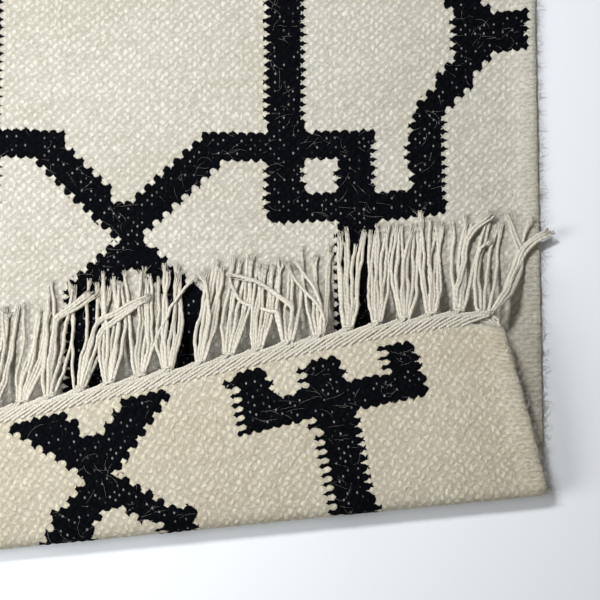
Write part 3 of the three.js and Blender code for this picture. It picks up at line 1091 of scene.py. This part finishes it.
def fringe_mesh(name, outward, rest, material):
    """A fringe whose strands come to lie on the surface at rest. Outward is -1 at the folded end."""
    folded = outward < 0
    rng = chance(3 if folded else 4)
    spacing = WIDTH / TASSELS
    knot_u = np.array([spacing * (k + 0.5) + TASSEL_WANDER * uneven(7 * k) for k in range(TASSELS)])
    knot_u -= SIDE
    roots, headings, paths = [], [], []
    for tassel in range(TASSELS):
        root = strip_point(knot_u[tassel], STRIP_PARTING + STRIP_WIDTH, outward)
        lean = LEAN_LUCK * uneven(5 * tassel) + (LEAN_ON_FLAP if folded else 0)
        listed = folded and tassel >= FIRST_LIE
        lie = Lie(*LIES[tassel - FIRST_LIE]) if listed else USUAL._replace(lean=lean)
        strays = [Stray(*row) for row in STRAYS if folded and row[0] == tassel]
        straying = min(sum(stray.strands for stray in strays), MOST_STRAYING)
        paths += tassel_strands(root, rest, lie, STRANDS - straying, rng)
        for stray in strays:
            paths += stray_strands(root, rest, stray, rng)
        roots.append(root)
        headings.append(radians(lie.lean))
    share = np.linspace(0, 1, STRAND_RINGS)
    taper = 1 - 0.2 * (1 - smooth(0, 0.12, share)) - 0.5 * smooth(PLY_START, 1, share)
    radii = STRAND_RADIUS * taper * rng.uniform(0.85, 1.12, (len(paths), 1))
    parts = [
        heading_yarns(outward, knot_u, rng),
        knots(roots, headings, rng),
        tubes(paths, radii, sides=6, twist=STRAND_TWIST, lobe=0.06),
        loose_ends(paths, rng),
    ]
    return mesh_object(name, material, *merged(parts))


# Stray hairs of the wool: fine ones that lie over the black, and a fuzz at the sides and the fold.

Hairs = namedtuple("Hairs", "count short long curl low high radius")
ON_BLACK = Hairs(2600, 4, 13, 0.9, 0.2, 0.9, 0.032)
AT_SELVEDGES = Hairs(3400, 1.5, 7, 1.5, 0, 0.8, 0.11)
AT_FOLD = Hairs(700, 2, 5, 1.5, 0.5, 2.0, 0.11)
HAIR_TAPER = np.array([0.7, 1, 1, 0.9, 0.4])
HAIR_FROM_END = 8.0


def hair_paths(hairs, u, s, skin, heading, rng):
    """Hairs from short to long that start at (u, s) on either skin and curl as they run over it, rising
    from low to high. Where no heading is given they lie any way."""
    length = rng.uniform(hairs.short, hairs.long, hairs.count)
    if heading is None:
        heading = rng.uniform(0, tau, hairs.count)
    curl = rng.normal(0, hairs.curl, hairs.count)
    lift = rng.uniform(hairs.low, hairs.high, hairs.count)
    rings = len(HAIR_TAPER)
    t = np.linspace(0, 1, rings)[None]
    turn = heading[:, None] + curl[:, None] * t
    step = (length / (rings - 1))[:, None]
    across = u[:, None] + np.cumsum(np.cos(turn) * step, 1)
    along = s[:, None] + np.cumsum(np.sin(turn) * step, 1)
    along = np.clip(along, HAIR_FROM_END, LENGTH - HAIR_FROM_END)
    height = THICKNESS / 2 + 0.1 + lift[:, None] * np.sin(pi * t)
    height = np.where(np.abs(across) > SIDE, 0.5 * height, height)
    v = pick_v(np.clip(across, -SIDE, SIDE), along)
    return on_cloth(across, v, height * (1 - 2 * skin[:, None]))


def hairs_on_black(black, rng):
    """Hairs that lie about along the picks, from the black of the face's chart, on either skin."""
    count = ON_BLACK.count
    warp, pick = np.nonzero(black)
    chosen = rng.integers(0, len(warp), count)
    u = (warp[chosen] / WARPS - 0.5) * WIDTH
    s = pick[chosen] * LENGTH / PICKS
    skin = rng.integers(0, 2, count)
    heading = pi * rng.integers(0, 2, count) + rng.normal(0, 0.6, count)
    return hair_paths(ON_BLACK, u, s, skin, heading, rng)


def hairs_at_selvedges(rng):
    count = AT_SELVEDGES.count
    side = rng.choice([-1, 1], count)
    heading = np.where(side > 0, 0, pi) + rng.normal(0, 0.7, count)
    u = side * (SIDE - rng.uniform(0, 3, count))
    s = rng.uniform(HAIR_FROM_END, LENGTH - HAIR_FROM_END, count)
    skin = rng.integers(0, 2, count)
    return hair_paths(AT_SELVEDGES, u, s, skin, heading, rng)


def hairs_at_fold(rng):
    count = AT_FOLD.count
    u = rng.uniform(-SIDE, SIDE, count)
    s = bend_start(u) + BEND_LENGTH * rng.uniform(0.1, 0.9, count) - arch(u)
    return hair_paths(AT_FOLD, u, s, np.zeros(count, int), None, rng)


def hair_mesh(material, black):
    rng = chance(5)
    groups = [hairs_on_black(black, rng), hairs_at_selvedges(rng), hairs_at_fold(rng)]
    kinds = (ON_BLACK, AT_SELVEDGES, AT_FOLD)
    radii = np.concatenate([np.full(kind.count, kind.radius) for kind in kinds])[:, None] * HAIR_TAPER
    return mesh_object("stray_hairs", material, *tubes(np.concatenate(groups), radii, sides=3))


# The stage

# The room is dim above and bright all round, the more so the lower down.
ROOM_ABOVE = 0.12
ROOM_ROUND = 0.45
ROOM_TINT = (1.0, 0.965, 0.91, 1)
Light = namedtuple("Light", "name place target size power")
LIGHTS = [
    Light("window", (-0.50, -0.35, 0.50), (0.05, -0.30, 0), 0.40, 4.4),
    Light("lamp", (-0.17, 0.17, 0.77), (0.13, -0.22, 0), 0.14, 6.8),
]

# The floor glows softly far from the rug, so that it fades into the room.
FLOOR_SIZE = 12.0
FLOOR_COLOUR = (0.79, 0.83, 0.875, 1)
GLOW_FROM = 0.5
GLOW_TO = 1.7
FLOOR_GLOW = (0.44, 0.42, 0.39)


def pale_floor():
    size = FLOOR_SIZE
    mesh = bpy.data.meshes.new("floor")
    corners = [(-size, -size, 0), (size, -size, 0), (size, size, 0), (-size, size, 0)]
    mesh.from_pydata(corners, [], [(0, 1, 2, 3)])
    nodes = Shader("pale_floor", Roughness=0.55, Base_Color=FLOOR_COLOUR)
    place = nodes.node("ShaderNodeTexCoord", output="Object")
    away = nodes.node("ShaderNodeVectorMath", {0: place}, "Value", operation="LENGTH")
    glow = nodes.mixed(nodes.ranged(away, GLOW_FROM, GLOW_TO), (0, 0, 0), FLOOR_GLOW)
    nodes.surface(Emission_Color=glow, Emission_Strength=1.0)
    mesh.materials.append(nodes.material)
    placed("floor", mesh)


def area_light(light):
    lamp = bpy.data.lights.new(light.name, "AREA")
    lamp.shape = "DISK"
    lamp.size = light.size
    lamp.energy = light.power
    thing = placed(light.name, lamp)
    thing.location = light.place
    direction = Vector(light.target) - Vector(light.place)
    thing.rotation_euler = direction.to_track_quat("-Z", "Y").to_euler()


def room():
    world = bpy.data.worlds.new("soft_room")
    world.use_nodes = True
    nodes = Nodes(world.node_tree)
    height = nodes.split(nodes.node("ShaderNodeTexCoord", output="Generated"))[2]
    lowness = nodes.ranged(height, low=0.0, high=1.0, start=1.0, end=0.0, kind="LINEAR")
    strength = nodes.maths("MULTIPLY_ADD", lowness**3.0, ROOM_ROUND, ROOM_ABOVE)
    background = world.node_tree.nodes["Background"]
    nodes.put(ROOM_TINT, background.inputs["Color"])
    nodes.put(strength, background.inputs["Strength"])
    bpy.context.scene.world = world


# How the photo was taken: almost straight down, close to the rug.
CAMERA_ELEVATION = radians(86)
CAMERA_DISTANCE = 600.0
CAMERA_TARGET = (103.0, 132.5, 0.0)
FOCAL_PIXELS = 972.4
IMAGE_PIXELS = 600


def camera():
    made = bpy.data.cameras.new("camera")
    made.lens = made.sensor_width * FOCAL_PIXELS / IMAGE_PIXELS
    thing = placed("camera", made)
    back = np.array([0, -cos(CAMERA_ELEVATION), sin(CAMERA_ELEVATION)])
    thing.location = (np.array(CAMERA_TARGET) + SHIFT + back * CAMERA_DISTANCE) * MM
    thing.rotation_euler = (pi / 2 - CAMERA_ELEVATION, 0, 0)
    bpy.context.scene.camera = thing


charts = [black_chart(chance(0), skin) for skin in (0, 1)]
wool = wool_material()
cotton = cotton_material()
cloth = cloth_mesh(wool, charts)
folded_fringe = fringe_mesh("cotton_fringe_folded", -1, THICKNESS + LIE_CLEARANCE, cotton)
flat_fringe = fringe_mesh("cotton_fringe_flat", 1, 0.0, cotton)
hairs = hair_mesh(hair_material(), charts[0])
for piece, node, slot in (
    (cloth, "kilim_cloth", "wool_weave"),
    (folded_fringe, "fringe_folded_end", "cotton_fringe"),
    (flat_fringe, "fringe_flat_end", "cotton_fringe"),
    (hairs, None, "wool_weave"),
):
    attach(piece, "root")
    if node:
        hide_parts(node)

pale_floor()
room()
for light in LIGHTS:
    area_light(light)
camera()
bpy.context.scene.view_settings.view_transform = "Standard"
